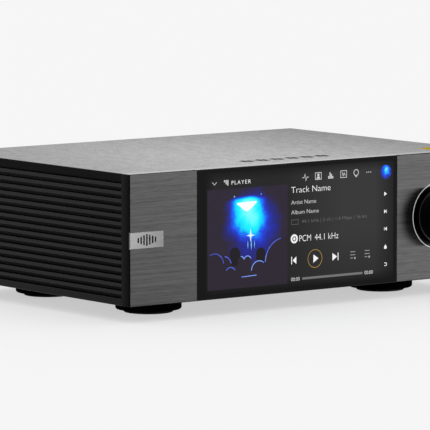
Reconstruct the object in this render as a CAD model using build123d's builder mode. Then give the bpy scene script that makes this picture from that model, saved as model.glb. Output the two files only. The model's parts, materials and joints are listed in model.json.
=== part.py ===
from build123d import *
from math import cos, radians, sin
import os

os.makedirs("parts", exist_ok=True)

# A desktop network player and DAC: a low aluminium case on four round feet, with a full-height
# glass screen and a large volume knob in front, ribbed sides, and its sockets at the back.
# +X is the object's right seen from the front, -Y is the front, +Z is up. The origin is under the
# middle of the whole object's box, on the surface that the feet stand on. Millimetres.

# Overall size
body_w = 270.0          # width of the case
body_d = 188.3          # depth of the case, without knob and sockets
body_h = 78.3           # height of the case, without feet
foot_h = 9.9            # clearance under the case
knob_out = 15.5         # how far the knob stands out of the front
rear_out = 9.0          # how far the longest sockets stand out of the back

# Case walls
panel_t = 8.3           # front panel
top_t = 3.7             # top cover
side_t = 9.5            # side panels, ribs included
base_t = 3.0
rear_t = 2.0
edge_cut = 0.35         # small chamfer along the outer edges

# Side ribs
groove_n = 16
groove_pitch = 4.533
groove_h = 2.25
groove_d = 4.0
rib_h = groove_pitch - groove_h
first_groove = 4.35     # height of the lowest groove's lower edge above the case's underside
rib_round = 0.5

# Screen
glass_left = 49.3       # from the case's left edge to the glass
glass_w = 154.35
glass_t = 2.2
lcd_w, lcd_h, lcd_t = 146.0, 72.0, 4.6
lcd_mid = 128.0         # from the case's left edge to the middle of the display
lcd_play = 0.2
lcd_gap = 0.4           # air between the glass and the display

# Knob
knob_mid = 236.8        # from the case's left edge to the knob's axis
knob_r = 17.8
knob_in = 1.9           # how far the knob's skirt goes into the well
press_travel = 0.5
ring_in_r, ring_out_r = 20.2, 20.6
well_d = 2.5            # depth of the dark well around the knob
shaft_r = 3.0
running_gap = 0.04      # radial clearance of a shaft in its bore

# Places that follow from the sizes above
total_d = knob_out + body_d + rear_out
front_y = knob_out - total_d / 2
rear_y = front_y + body_d
panel_back = front_y + panel_t
case_back = rear_y - rear_t
under_z = foot_h
top_z = under_z + body_h
cover_z = top_z - top_t
mid_z = under_z + body_h / 2
edge_x = body_w / 2
inner_x = edge_x - side_t
core_x = edge_x - groove_d
floor_z = under_z + base_t
glass_x = glass_left - edge_x, glass_left + glass_w - edge_x
lcd_x = lcd_mid - edge_x
knob_x = knob_mid - edge_x

# Boards and screws inside
board_t = 1.6
standoff_h = 8.0
board_z = floor_z + standoff_h
deck_z = board_z + board_t
thread_r, thread_l = 1.25, 6.0
head_r, head_h = 2.5, 1.8


def facing_front(y):
    """Sketch plane at depth y, seen from the front: +X right, +Z up. It extrudes towards the front."""
    return Plane.XZ.offset(-y)


def block(x_span, y_span, z_span, mode=Mode.ADD):
    """Adds a box between three pairs of limits to the part being built."""
    spans = (x_span, y_span, z_span)
    with Locations(tuple((low + high) / 2 for low, high in spans)):
        Box(*[high - low for low, high in spans], mode=mode)


def around(middle, size):
    """The two limits of a stretch of this size about its middle."""
    return middle - size / 2, middle + size / 2


def rod_y(x, z, y_span, radius, mode=Mode.ADD):
    """Adds a round bar along Y to the part being built."""
    with Locations((x, sum(y_span) / 2, z)):
        Cylinder(radius, y_span[1] - y_span[0], rotation=(90, 0, 0), mode=mode)


def rod_x(y, z, x_span, radius, mode=Mode.ADD):
    """Adds a round bar along X to the part being built."""
    with Locations((sum(x_span) / 2, y, z)):
        Cylinder(radius, x_span[1] - x_span[0], rotation=(0, 90, 0), mode=mode)


def rod_z(x, y, z_span, radius, mode=Mode.ADD):
    """Adds an upright round bar to the part being built."""
    with Locations((x, y, sum(z_span) / 2)):
        Cylinder(radius, z_span[1] - z_span[0], mode=mode)


# ---------------------------------------------------------------- screen
bracket_holes = [(lcd_x + sx * 78.0, mid_z + sz * 22.0) for sx in (-1, 1) for sz in (-1, 1)]

with BuildPart() as front_panel:
    with BuildSketch(facing_front(front_y)):
        with Locations((0, mid_z)):
            Rectangle(body_w, body_h)
    extrude(amount=-panel_t)
    chamfer(front_panel.faces().sort_by(Axis.Y)[0].edges(), length=edge_cut)
    block(glass_x, (front_y - 1, front_y + glass_t), (under_z - 1, top_z + 1), Mode.SUBTRACT)
    block(around(lcd_x, lcd_w + 2 * lcd_play), (front_y, panel_back),
          around(mid_z, lcd_h + 2 * lcd_play), Mode.SUBTRACT)
    rod_y(knob_x, mid_z, (front_y - 1, panel_back + 1), ring_out_r + 0.05, Mode.SUBTRACT)
    for x, z in bracket_holes:
        rod_y(x, z, (panel_back - 5.0, panel_back), thread_r, Mode.SUBTRACT)

with BuildPart() as screen_glass:
    block((glass_x[0] + 0.05, glass_x[1] - 0.05), (front_y, front_y + glass_t), (under_z, top_z))
    lengthwise = screen_glass.faces().sort_by(Axis.Y)[0].edges().filter_by(Axis.X)
    chamfer(lengthwise, length=edge_cut)
screen_glass.part.label = "screen_glass"
export_step(screen_glass.part, "parts/screen_glass.step")

lcd_front = front_y + glass_t + lcd_gap
lcd_y = lcd_front, lcd_front + lcd_t
with BuildPart() as lcd_module:
    block(around(lcd_x, lcd_w), lcd_y, around(mid_z, lcd_h))
    chamfer(lcd_module.edges().filter_by(Axis.Y), length=0.8)
lcd_module.part.label = "lcd_module"
export_step(lcd_module.part, "parts/lcd_module.step")

# The bracket is a pressed plate whose raised middle holds the display against the glass.
bracket_t = 1.2
ribbon_w, ribbon_t = 24.0, 0.3
ribbon_z = under_z + 30.0
with BuildPart() as lcd_bracket:
    block(around(lcd_x, 166.0), (panel_back, panel_back + bracket_t), around(mid_z, 60.0))
    block(around(lcd_x, 134.0), (lcd_y[1], panel_back), around(mid_z, 54.0))
    chamfer(lcd_bracket.edges().filter_by(Axis.Y), length=2.0)
    block(around(lcd_x, 122.0), (lcd_y[1] + bracket_t, panel_back + bracket_t),
          around(mid_z, 42.0), Mode.SUBTRACT)
    block(around(lcd_x, ribbon_w + 4), (lcd_y[1], panel_back + 1), around(ribbon_z, 4.0), Mode.SUBTRACT)
    for x, z in bracket_holes:
        rod_y(x, z, (panel_back, panel_back + bracket_t), thread_r + 0.2, Mode.SUBTRACT)
lcd_bracket.part.label = "lcd_bracket"
export_step(lcd_bracket.part, "parts/lcd_bracket.step")

# The flat ribbon runs from the back of the display down to its socket on the main board.
main_front = rear_y - 122.0
ribbon_end = main_front + 6.0
with BuildPart() as lcd_ribbon:
    with BuildSketch(Plane.YZ.offset(lcd_x)):
        with BuildLine():
            FilletPolyline((lcd_y[1], ribbon_z), (front_y + 24.0, ribbon_z),
                           (front_y + 48.0, deck_z + 1.6), (ribbon_end, deck_z + 1.6), radius=8.0)
        trace(line_width=ribbon_t)
    extrude(amount=ribbon_w / 2, both=True)
lcd_ribbon.part.label = "lcd_ribbon"
export_step(lcd_ribbon.part, "parts/lcd_ribbon.step")

# ---------------------------------------------------------------- badge at the front's left edge
badge_w, badge_h, badge_t = 24.9, 10.0, 0.8
badge_x = -edge_x + badge_w / 2
badge_z = under_z + 39.1
mark_t = 0.3
bar_n = 7
bar_pitch = 2.1
bar_w = 1.1


def level_bars():
    """A row of rounded level bars, tallest in the middle, centred in the sketch being built."""
    for i in range(bar_n):
        reach = 1 - abs(i - (bar_n - 1) / 2) / (bar_n / 2 + 0.5)
        with Locations(((i - (bar_n - 1) / 2) * bar_pitch, 0)):
            SlotOverall(2.0 + 5.2 * reach, bar_w, rotation=90)


badge_front = Plane(origin=(badge_x, front_y, badge_z), x_dir=(1, 0, 0), z_dir=(0, -1, 0))
with BuildPart() as front_badge:
    block((-edge_x, -edge_x + badge_w), (front_y, front_y + badge_t), around(badge_z, badge_h))
    chamfer(front_badge.faces().sort_by(Axis.Y)[0].edges(), length=0.2)
    with BuildSketch(badge_front):
        level_bars()
    extrude(amount=-mark_t, mode=Mode.SUBTRACT)
front_badge.part.label = "front_badge"
export_step(front_badge.part, "parts/front_badge.step")

with BuildPart() as badge_mark:
    with BuildSketch(badge_front):
        level_bars()
    extrude(amount=-mark_t)
badge_mark.part.label = "badge_mark"
export_step(badge_mark.part, "parts/badge_mark.step")

with front_panel:
    block((-edge_x - 1, -edge_x + badge_w), (front_y - 1, front_y + badge_t),
          around(badge_z, badge_h), Mode.SUBTRACT)
front_panel.part.label = "front_panel"
export_step(front_panel.part, "parts/front_panel.step")

# ---------------------------------------------------------------- ring light and knob well
with BuildPart() as ring_light:
    rod_y(knob_x, mid_z, (front_y, panel_back), ring_out_r)
    rod_y(knob_x, mid_z, (front_y, panel_back), ring_in_r, Mode.SUBTRACT)
ring_light.part.label = "ring_light"
export_step(ring_light.part, "parts/ring_light.step")

well_r = ring_in_r - 0.05
well_floor = front_y + well_d
floor_t = 2.5
bushing_r = 4.5
with BuildPart() as knob_well:
    rod_y(knob_x, mid_z, (front_y + 0.2, panel_back), well_r)
    rod_y(knob_x, mid_z, (front_y, well_floor), well_r - 0.7, Mode.SUBTRACT)
    rod_y(knob_x, mid_z, (well_floor + floor_t, panel_back), well_r - 3.0, Mode.SUBTRACT)
    rod_y(knob_x, mid_z, (well_floor, panel_back), bushing_r, Mode.SUBTRACT)
knob_well.part.label = "knob_well"
export_step(knob_well.part, "parts/knob_well.step")

# A ring of side-firing lamps on its own small board lights the clear ring from behind.
lamp_n = 16
lamp_t = 1.0
lamp_y = panel_back, panel_back + lamp_t
ring_board_y = lamp_y[1], lamp_y[1] + board_t
with BuildPart() as ring_board:
    rod_y(knob_x, mid_z, ring_board_y, 23.0)
    rod_y(knob_x, mid_z, ring_board_y, 10.6, Mode.SUBTRACT)
    with BuildSketch(facing_front(lamp_y[1])):
        with Locations((knob_x, mid_z)):
            with PolarLocations(ring_in_r + 0.5, lamp_n):
                Rectangle(1.6, 3.2)
    extrude(amount=lamp_t)
ring_board.part.label = "ring_board"
export_step(ring_board.part, "parts/ring_board.step")

# ---------------------------------------------------------------- encoder and knob
encoder_y = well_floor + floor_t, well_floor + floor_t + 9.0
bushing_tip = well_floor - 3.0
rotor_r = 5.4
rotor_y = encoder_y[0] + 2.5, encoder_y[0] + 5.5
tail_r = 2.2            # the shaft's thinner tail, which slides in the rotor
shaft_y = front_y - 12.0, encoder_y[1] - 1.0
shoulder_y = encoder_y[0] + 1.5
with BuildPart() as encoder_body:
    block(around(knob_x, 14.0), encoder_y, around(mid_z, 14.0))
    chamfer(encoder_body.edges().filter_by(Axis.Y), length=1.0)
    rod_y(knob_x, mid_z, (bushing_tip, encoder_y[0]), bushing_r)
    rod_y(knob_x, mid_z, (bushing_tip, shoulder_y + 0.7), shaft_r + running_gap, Mode.SUBTRACT)
    rod_y(knob_x, mid_z, (rotor_y[0] - 0.1, rotor_y[1] + 0.1), rotor_r + running_gap, Mode.SUBTRACT)
    rod_y(knob_x, mid_z, (rotor_y[0] - 0.4, encoder_y[1] - 0.3), tail_r + running_gap, Mode.SUBTRACT)
    for pin in (-2.5, 0.0, 2.5):
        block(around(knob_x + pin, 0.8), (encoder_y[0] + 4, encoder_y[0] + 5), (mid_z - 10.0, mid_z - 7.0))
encoder_body.part.label = "encoder_body"
export_step(encoder_body.part, "parts/encoder_body.step")

with BuildPart() as encoder_nut:
    with BuildSketch(facing_front(well_floor)):
        with Locations((knob_x, mid_z)):
            RegularPolygon(7.0, 6)
            Circle(bushing_r, mode=Mode.SUBTRACT)
    extrude(amount=2.0)
encoder_nut.part.label = "encoder_nut"
export_step(encoder_nut.part, "parts/encoder_nut.step")

with BuildPart() as encoder_rotor:
    rod_y(knob_x, mid_z, rotor_y, rotor_r)
    rod_y(knob_x, mid_z, rotor_y, tail_r + running_gap, Mode.SUBTRACT)
encoder_rotor.part.label = "encoder_rotor"
export_step(encoder_rotor.part, "parts/encoder_rotor.step")

with BuildPart() as knob_shaft:
    rod_y(knob_x, mid_z, (shaft_y[0], shoulder_y), shaft_r)
    rod_y(knob_x, mid_z, (shoulder_y, shaft_y[1]), tail_r)
    block(around(knob_x, 8.0), (shaft_y[0] - 1, shaft_y[0] + 7.0),
          (mid_z - 4.0, mid_z - shaft_r + 0.7), Mode.SUBTRACT)
knob_shaft.part.label = "knob_shaft"
export_step(knob_shaft.part, "parts/knob_shaft.step")

knob_y = front_y - knob_out, front_y + knob_in
face_r, face_t = 14.6, 1.2
face_y = knob_y[0] + 0.9
screw_y = front_y - 8.5
knob_plane = Plane(origin=(knob_x, 0, mid_z), x_dir=(1, 0, 0), z_dir=(0, 0, 1))
with BuildPart() as volume_knob:
    # Half section: the bore, the cavity over the nut, the skirt, the wall and the dished front
    with BuildSketch(knob_plane):
        with BuildLine():
            Polyline((shaft_r, shaft_y[0]), (shaft_r, front_y - 5.0), (10.0, front_y - 5.0),
                     (10.0, knob_y[1]), (knob_r, knob_y[1]), (knob_r, knob_y[0] + 0.9),
                     (knob_r - 0.9, knob_y[0]), (face_r + 0.5, knob_y[0]), (face_r, face_y),
                     (face_r, face_y + face_t), (0, face_y + face_t), (0, shaft_y[0]),
                     close=True)
        make_face()
    revolve(axis=Axis((knob_x, 0, mid_z), (0, 1, 0)))
    rod_z(knob_x, screw_y, (mid_z - knob_r - 1, mid_z - shaft_r + 0.5), 1.5, Mode.SUBTRACT)
volume_knob.part.label = "volume_knob"
export_step(volume_knob.part, "parts/volume_knob.step")

dish = 0.5
with BuildPart() as knob_face:
    with BuildSketch(knob_plane):
        with BuildLine():
            ThreePointArc((-face_r, face_y), (0, face_y + dish), (face_r, face_y))
            Line((face_r, face_y), (face_r, face_y + face_t))
            Line((face_r, face_y + face_t), (-face_r, face_y + face_t))
            Line((-face_r, face_y + face_t), (-face_r, face_y))
        make_face()
        with Locations((-knob_r, face_y)):
            Rectangle(2 * knob_r, 8.0, mode=Mode.SUBTRACT)
    revolve(axis=Axis((knob_x, 0, mid_z), (0, 1, 0)))
knob_face.part.label = "knob_face"
export_step(knob_face.part, "parts/knob_face.step")

with BuildPart() as knob_set_screw:
    rod_z(knob_x, screw_y, (mid_z - 9.0, mid_z - shaft_r + 0.5), 1.5)
    with BuildSketch(Plane.XY.offset(mid_z - 9.0)):
        with Locations((knob_x, screw_y)):
            RegularPolygon(0.85, 6)
    extrude(amount=2.0, mode=Mode.SUBTRACT)
knob_set_screw.part.label = "knob_set_screw"
export_step(knob_set_screw.part, "parts/knob_set_screw.step")

# ---------------------------------------------------------------- ribbed sides
case_screw_spots = [(sx * 128.0, under_z + h) for sx in (-1, 1) for h in (12.0, 62.0)]
lid_screw_spots = [(sx * 24.0, cover_z - 3.0) for sx in (-1, 1)]

for side, name in ((-1, "side_panel_left"), (1, "side_panel_right")):
    with BuildPart() as side_panel:
        with BuildSketch(facing_front(panel_back)):
            with Locations((side * (inner_x + core_x) / 2, (under_z + cover_z) / 2)):
                Rectangle(core_x - inner_x, cover_z - under_z)
            with Locations((side * core_x, under_z + first_groove / 2)):
                RectangleRounded(2 * groove_d, first_groove, rib_round)
            for k in range(1, groove_n):
                rib_z = under_z + first_groove + k * groove_pitch - rib_h / 2
                with Locations((side * core_x, rib_z)):
                    RectangleRounded(2 * groove_d, rib_h, rib_round)
        extrude(amount=-(case_back - panel_back))
        for x, z in case_screw_spots:
            if x * side > 0:
                rod_y(x, z, (case_back - thread_l, case_back), thread_r, Mode.SUBTRACT)
    side_panel.part.label = name
    export_step(side_panel.part, f"parts/{name}.step")

# ---------------------------------------------------------------- top cover, its mark and label
top_mark_y = front_y + 24.6
top_mark_x = 0.0
group_n = 6             # groups of three strokes
group_pitch = 11.6
stroke_pitch = 2.9
label_x = 107.8, 126.3
label_y = front_y + 9.3, front_y + 27.8
label_t = 0.15


def stroke_groups():
    """A row of groups of three strokes, the middle one the longest, centred in the sketch being built."""
    for i in range(group_n):
        for j, length in ((-1, 7.6), (0, 11.0), (1, 7.6)):
            with Locations(((i - (group_n - 1) / 2) * group_pitch + j * stroke_pitch, 0)):
                SlotOverall(length, 2.4, rotation=90)


mark_plane = Plane(origin=(top_mark_x, top_mark_y, top_z), z_dir=(0, 0, 1))
with BuildPart() as top_cover:
    block((-edge_x, edge_x), (panel_back, rear_y), (cover_z, top_z))
    outer = top_cover.faces().sort_by(Axis.Z)[-1].edges().sort_by(Axis.Y)[1:]
    chamfer(outer, length=edge_cut)
    for side in (-1, 1):
        block(around(side * (inner_x - 4.0), 8.0), (panel_back + 6, case_back - 6), (cover_z - 4, cover_z))
    block(around(0, 70.0), (case_back - 9, case_back), (cover_z - 6, cover_z))
    for x, z in lid_screw_spots:
        rod_y(x, z, (case_back - thread_l, case_back), thread_r, Mode.SUBTRACT)
    block(label_x, label_y, (top_z - label_t, top_z + 1), Mode.SUBTRACT)
    with BuildSketch(mark_plane):
        stroke_groups()
    extrude(amount=-mark_t, mode=Mode.SUBTRACT)
top_cover.part.label = "top_cover"
export_step(top_cover.part, "parts/top_cover.step")

with BuildPart() as top_mark:
    with BuildSketch(mark_plane):
        stroke_groups()
    extrude(amount=-mark_t)
top_mark.part.label = "top_mark"
export_step(top_mark.part, "parts/top_mark.step")

with BuildPart() as top_label:
    block(label_x, label_y, (top_z - label_t, top_z))
top_label.part.label = "top_label"
export_step(top_label.part, "parts/top_label.step")

# ---------------------------------------------------------------- base plate, drive hatch and feet
foot_spots = {
    "front_left": (-edge_x + 44.8, front_y + 42.0),
    "front_right": (edge_x - 44.8, front_y + 42.0),
    "rear_left": (-edge_x + 44.8, rear_y - 42.5),
    "rear_right": (edge_x - 44.8, rear_y - 42.5),
}
foot_r, foot_t, foot_round = 19.96, 8.1, 1.33
pad_r = 14.86
pad_sink = 1.0
bolt_r = 2.0
hatch_x = around(10.0, 34.0)
hatch_y = around((front_y + rear_y) / 2 + 4.0, 104.0)
hatch_lip = 3.0
hatch_t = 1.5
hatch_screws = [(10.0, hatch_y[0] + 3.6), (10.0, hatch_y[1] - 3.6)]
main_x = -62.0, 122.0
main_y = main_front, case_back - 0.3
psu_x = -124.0, -68.0
psu_y = rear_y - 134.0, case_back - 24.0
main_posts = [(x, y) for x in (main_x[0] + 5, 36.0, main_x[1] - 5) for y in (main_y[0] + 5, main_y[1] - 32)]
psu_posts = [(x, y) for x in (psu_x[0] + 5, psu_x[1] - 5) for y in (psu_y[0] + 5, psu_y[1] - 5)]

with BuildPart() as base_plate:
    block((-inner_x, inner_x), (panel_back, case_back), (under_z, floor_z))
    block(hatch_x, hatch_y, (under_z, under_z + hatch_t), Mode.SUBTRACT)
    block((hatch_x[0] + hatch_lip, hatch_x[1] - hatch_lip),
          (hatch_y[0] + 7.5, hatch_y[1] - 7.5), (under_z, floor_z), Mode.SUBTRACT)
    for x, y in foot_spots.values():
        rod_z(x, y, (under_z, floor_z), bolt_r, Mode.SUBTRACT)
    for x, y in hatch_screws:
        rod_z(x, y, (under_z, floor_z), thread_r, Mode.SUBTRACT)
    # Rows of cooling slots between the feet
    with BuildSketch(Plane.XY.offset(under_z)):
        for x in (-58.0, 58.0):
            with Locations((x, (front_y + rear_y) / 2 + 4.0)):
                with GridLocations(0, 6.0, 1, 13):
                    SlotOverall(34.0, 2.4)
    extrude(amount=base_t, mode=Mode.SUBTRACT)
base_plate.part.label = "base_plate"
export_step(base_plate.part, "parts/base_plate.step")

with BuildPart() as ssd_cover:
    block((hatch_x[0] + 0.2, hatch_x[1] - 0.2), (hatch_y[0] + 0.2, hatch_y[1] - 0.2),
          (under_z, under_z + hatch_t))
    fillet(ssd_cover.edges().filter_by(Axis.Z), radius=1.0)
    for x, y in hatch_screws:
        rod_z(x, y, (under_z, under_z + hatch_t), thread_r + 0.15, Mode.SUBTRACT)
        rod_z(x, y, (under_z, under_z + 1.0), head_r + 0.15, Mode.SUBTRACT)
ssd_cover.part.label = "ssd_cover"
export_step(ssd_cover.part, "parts/ssd_cover.step")

foot_low = foot_h - foot_t
for corner, (x, y) in foot_spots.items():
    with BuildPart() as foot:
        rod_z(x, y, (foot_low, foot_h), foot_r)
        fillet(foot.faces().sort_by(Axis.Z)[0].edges(), radius=foot_round)
        rod_z(x, y, (foot_low, foot_low + pad_sink), pad_r + 0.05, Mode.SUBTRACT)
        rod_z(x, y, (foot_low, foot_low + 4.2), 3.8, Mode.SUBTRACT)
        rod_z(x, y, (foot_low, foot_h), bolt_r + 0.15, Mode.SUBTRACT)
    foot.part.label = f"foot_{corner}"
    export_step(foot.part, f"parts/foot_{corner}.step")

with BuildPart() as foot_pads:
    for x, y in foot_spots.values():
        rod_z(x, y, (0, foot_low + pad_sink), pad_r)
    fillet(foot_pads.faces().group_by(Axis.Z)[0].edges(), radius=0.5)
foot_pads.part.label = "foot_pads"
export_step(foot_pads.part, "parts/foot_pads.step")

with BuildPart() as foot_screws:
    for x, y in foot_spots.values():
        rod_z(x, y, (foot_low + 1.4, foot_low + 4.2), 3.5)
        rod_z(x, y, (foot_low + 4.2, floor_z + 1.0), bolt_r)
foot_screws.part.label = "foot_screws"
export_step(foot_screws.part, "parts/foot_screws.step")

# ---------------------------------------------------------------- sockets at the back
xlr_spots = [(104.0, under_z + 26.0), (74.0, under_z + 26.0)]
rca_spots = [(x, under_z + h) for x in (46.0, 28.0) for h in (21.0, 39.0)]
optical_spots = {"optical_in": (9.0, under_z + 38.5), "optical_out": (9.0, under_z + 20.5)}
usb_spots = [(-10.0, under_z + 17.0), (-10.0, under_z + 28.0)]
usb_c_spot = -10.0, under_z + 39.0
hdmi_spot = -29.0, under_z + 16.5
trigger_spot = -29.0, under_z + 36.0
lan_spot = -49.0, under_z + 20.5
inlet_spot = -92.0, under_z + 26.0
rocker_spot = -117.5, under_z + 26.0
antenna_spots = [(-64.0, under_z + 60.0), (112.0, under_z + 60.0)]

xlr_cup_r, xlr_bore_r, xlr_depth = 11.8, 9.6, 13.0
rca_barrel_r, rca_core_r, rca_neck_r, rca_neck = 4.15, 3.35, 5.0, 1.2
optical_body = 14.0
optical_depth = 15.0
usb_w, usb_h = 14.6, 7.0
usb_c_w, usb_c_h = 9.0, 3.3
hdmi_w, hdmi_h = 16.0, 6.6
lan_w, lan_h, lan_d = 16.0, 13.6, 21.0
trigger_r = 4.0
inlet_w, inlet_h = 28.0, 21.0
switch_w, switch_h = 14.0, 20.0
antenna_r = 3.1

with BuildPart() as rear_panel:
    block((-core_x, core_x), (case_back, rear_y), (under_z, cover_z))
    chamfer(rear_panel.faces().sort_by(Axis.Y)[-1].edges(), length=edge_cut)
    for x, z in case_screw_spots + lid_screw_spots:
        rod_y(x, z, (case_back, rear_y), thread_r + 0.2, Mode.SUBTRACT)
    for x, z in xlr_spots:
        rod_y(x, z, (case_back, rear_y), xlr_cup_r + 0.1, Mode.SUBTRACT)
    for x, z in rca_spots:
        rod_y(x, z, (case_back, rear_y), rca_neck_r + 0.05, Mode.SUBTRACT)
    for x, z in optical_spots.values():
        block(around(x, optical_body + 0.2), (case_back, rear_y), around(z, optical_body + 0.2),
              Mode.SUBTRACT)
    for x, z in usb_spots:
        block(around(x, usb_w + 0.2), (case_back, rear_y), around(z, usb_h + 0.2), Mode.SUBTRACT)
    block(around(usb_c_spot[0], usb_c_w + 0.2), (case_back, rear_y),
          around(usb_c_spot[1], usb_c_h + 0.2), Mode.SUBTRACT)
    block(around(hdmi_spot[0], hdmi_w + 0.2), (case_back, rear_y),
          around(hdmi_spot[1], hdmi_h + 0.2), Mode.SUBTRACT)
    block(around(lan_spot[0], lan_w + 0.2), (case_back, rear_y), around(lan_spot[1], lan_h + 0.2),
          Mode.SUBTRACT)
    rod_y(*trigger_spot, (case_back, rear_y), trigger_r + 0.1, Mode.SUBTRACT)
    block(around(inlet_spot[0], inlet_w + 0.2), (case_back, rear_y),
          around(inlet_spot[1], inlet_h + 0.2), Mode.SUBTRACT)
    block(around(rocker_spot[0], switch_w + 0.2), (case_back, rear_y),
          around(rocker_spot[1], switch_h + 0.2), Mode.SUBTRACT)
    for x, z in antenna_spots:
        rod_y(x, z, (case_back, rear_y), antenna_r + 0.05, Mode.SUBTRACT)
rear_panel.part.label = "rear_panel"
export_step(rear_panel.part, "parts/rear_panel.step")

# Balanced outputs: a flanged shell, the carrier that closes its inner end, and three pins
xlr_pin_r = 1.2
xlr_pins_at = [(-3.6, -1.6), (3.6, -1.6), (0.0, -5.6)]
xlr_floor = rear_y - xlr_depth
xlr_flange_t = 1.8
with BuildPart() as xlr_jacks:
    for x, z in xlr_spots:
        block(around(x, 25.0), (rear_y, rear_y + xlr_flange_t), around(z, 27.0))
    chamfer(xlr_jacks.edges().filter_by(Axis.Y), length=2.0)
    for x, z in xlr_spots:
        rod_y(x, z, (xlr_floor - 3.0, rear_y + xlr_flange_t), xlr_cup_r)
        rod_y(x, z, (xlr_floor - 3.0, rear_y + xlr_flange_t), xlr_bore_r, Mode.SUBTRACT)
        rod_y(x, z, (xlr_floor - 9.0, xlr_floor), xlr_bore_r - 0.05)
xlr_jacks.part.label = "xlr_jacks"
export_step(xlr_jacks.part, "parts/xlr_jacks.step")

with BuildPart() as xlr_pins:
    for x, z in xlr_spots:
        for px, pz in xlr_pins_at:
            rod_y(x + px, z + pz, (xlr_floor, rear_y - 0.5), xlr_pin_r)
    fillet(xlr_pins.faces().group_by(Axis.Y)[-1].edges(), radius=0.7)
xlr_pins.part.label = "xlr_pins"
export_step(xlr_pins.part, "parts/xlr_pins.step")

# Phono sockets: a plated barrel round an insulating core
with BuildPart() as rca_shells:
    for x, z in rca_spots:
        rod_y(x, z, (rear_y + rca_neck, rear_y + rear_out), rca_barrel_r)
    chamfer(rca_shells.faces().group_by(Axis.Y)[-1].edges(), length=0.3)
    for x, z in rca_spots:
        rod_y(x, z, (rear_y, rear_y + rear_out), rca_core_r, Mode.SUBTRACT)
rca_shells.part.label = "rca_shells"
export_step(rca_shells.part, "parts/rca_shells.step")

with BuildPart() as rca_insulators:
    for x, z in rca_spots:
        block(around(x, 15.0), (case_back - 14.0, case_back), around(z, 15.0))
        rod_y(x, z, (case_back, rear_y + rca_neck), rca_neck_r)
        rod_y(x, z, (rear_y + rca_neck, rear_y + rear_out - 0.6), rca_core_r)
        rod_y(x, z, (rear_y - 1.0, rear_y + rear_out), 1.65, Mode.SUBTRACT)
rca_insulators.part.label = "rca_insulators"
export_step(rca_insulators.part, "parts/rca_insulators.step")

# Optical sockets: a square throat closed by a flap that hangs from a pin across its top
throat_w = 10.0
throat_low, throat_high = -4.8, 5.4
flap_axis = rear_y - 1.6, 4.5
flap_pin_r = 0.45
with BuildPart() as optical_jacks:
    for x, z in optical_spots.values():
        block(around(x, optical_body), (rear_y - optical_depth, rear_y), around(z, optical_body))
        block(around(x, throat_w), (rear_y - 13.0, rear_y), (z + throat_low, z + throat_high), Mode.SUBTRACT)
        rod_x(flap_axis[0], z + flap_axis[1], around(x, throat_w + 2.4), flap_pin_r + 0.05, Mode.SUBTRACT)
        block(around(x, throat_w), (rear_y - 0.8, rear_y), (z + throat_low, z + throat_low + 0.7))
optical_jacks.part.label = "optical_jacks"
export_step(optical_jacks.part, "parts/optical_jacks.step")

for name, (x, z) in optical_spots.items():
    with BuildPart() as shutter:
        block(around(x, throat_w - 0.5), around(flap_axis[0], 0.8), (z + throat_low + 0.3, z + flap_axis[1]))
        rod_x(flap_axis[0], z + flap_axis[1], around(x, throat_w - 0.5), 0.75)
        rod_x(flap_axis[0], z + flap_axis[1], around(x, throat_w + 1.8), flap_pin_r)
    shutter.part.label = f"{name}_shutter"
    export_step(shutter.part, f"parts/{name}_shutter.step")

# USB, HDMI and network sockets: pressed shells, and the tongues that carry the contacts
usb_d = 14.0
usb_hole_w, usb_hole_h = 12.5, 5.12
hdmi_hole_w, hdmi_hole_h = 14.2, 4.8
usb_c_wall = 0.4
with BuildPart() as usb_jacks:
    for x, z in usb_spots:
        block(around(x, usb_w), (rear_y - usb_d, rear_y + 0.5), around(z, usb_h))
        block(around(x, usb_hole_w), (rear_y - usb_d + 1.5, rear_y + 1), around(z, usb_hole_h), Mode.SUBTRACT)
    block(around(usb_c_spot[0], usb_c_w), (rear_y - 9.0, rear_y + 0.5), around(usb_c_spot[1], usb_c_h))
    fillet(usb_jacks.edges().filter_by(Axis.Y).group_by(Axis.Z)[-1], radius=1.2)
    fillet(usb_jacks.edges().filter_by(Axis.Y).group_by(Axis.Z)[-3], radius=1.2)
    block(around(usb_c_spot[0], usb_c_w - 2 * usb_c_wall), (rear_y - 7.5, rear_y + 1),
          around(usb_c_spot[1], usb_c_h - 2 * usb_c_wall), Mode.SUBTRACT)
usb_jacks.part.label = "usb_jacks"
export_step(usb_jacks.part, "parts/usb_jacks.step")

with BuildPart() as hdmi_jack:
    block(around(hdmi_spot[0], hdmi_w), (rear_y - 12.0, rear_y + 0.5), around(hdmi_spot[1], hdmi_h))
    chamfer(hdmi_jack.edges().filter_by(Axis.Y).group_by(Axis.Z)[0], length=1.5)
    block(around(hdmi_spot[0], hdmi_hole_w), (rear_y - 10.5, rear_y + 1),
          around(hdmi_spot[1] + 0.4, hdmi_hole_h - 0.8), Mode.SUBTRACT)
    block(around(hdmi_spot[0], hdmi_hole_w - 3.0), (rear_y - 10.5, rear_y + 1),
          around(hdmi_spot[1], hdmi_hole_h), Mode.SUBTRACT)
hdmi_jack.part.label = "hdmi_jack"
export_step(hdmi_jack.part, "parts/hdmi_jack.step")

with BuildPart() as port_tongues:
    for x, z in usb_spots:
        block(around(x, 11.1), (rear_y - usb_d + 1.5, rear_y - 2.0), (z + 0.3, z + 2.1))
    block(around(usb_c_spot[0], 6.2), (rear_y - 7.5, rear_y - 1.0), around(usb_c_spot[1], 0.7))
    block(around(hdmi_spot[0], 11.0), (rear_y - 10.5, rear_y - 1.5), around(hdmi_spot[1] + 0.3, 1.5))
port_tongues.part.label = "port_tongues"
export_step(port_tongues.part, "parts/port_tongues.step")

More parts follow.
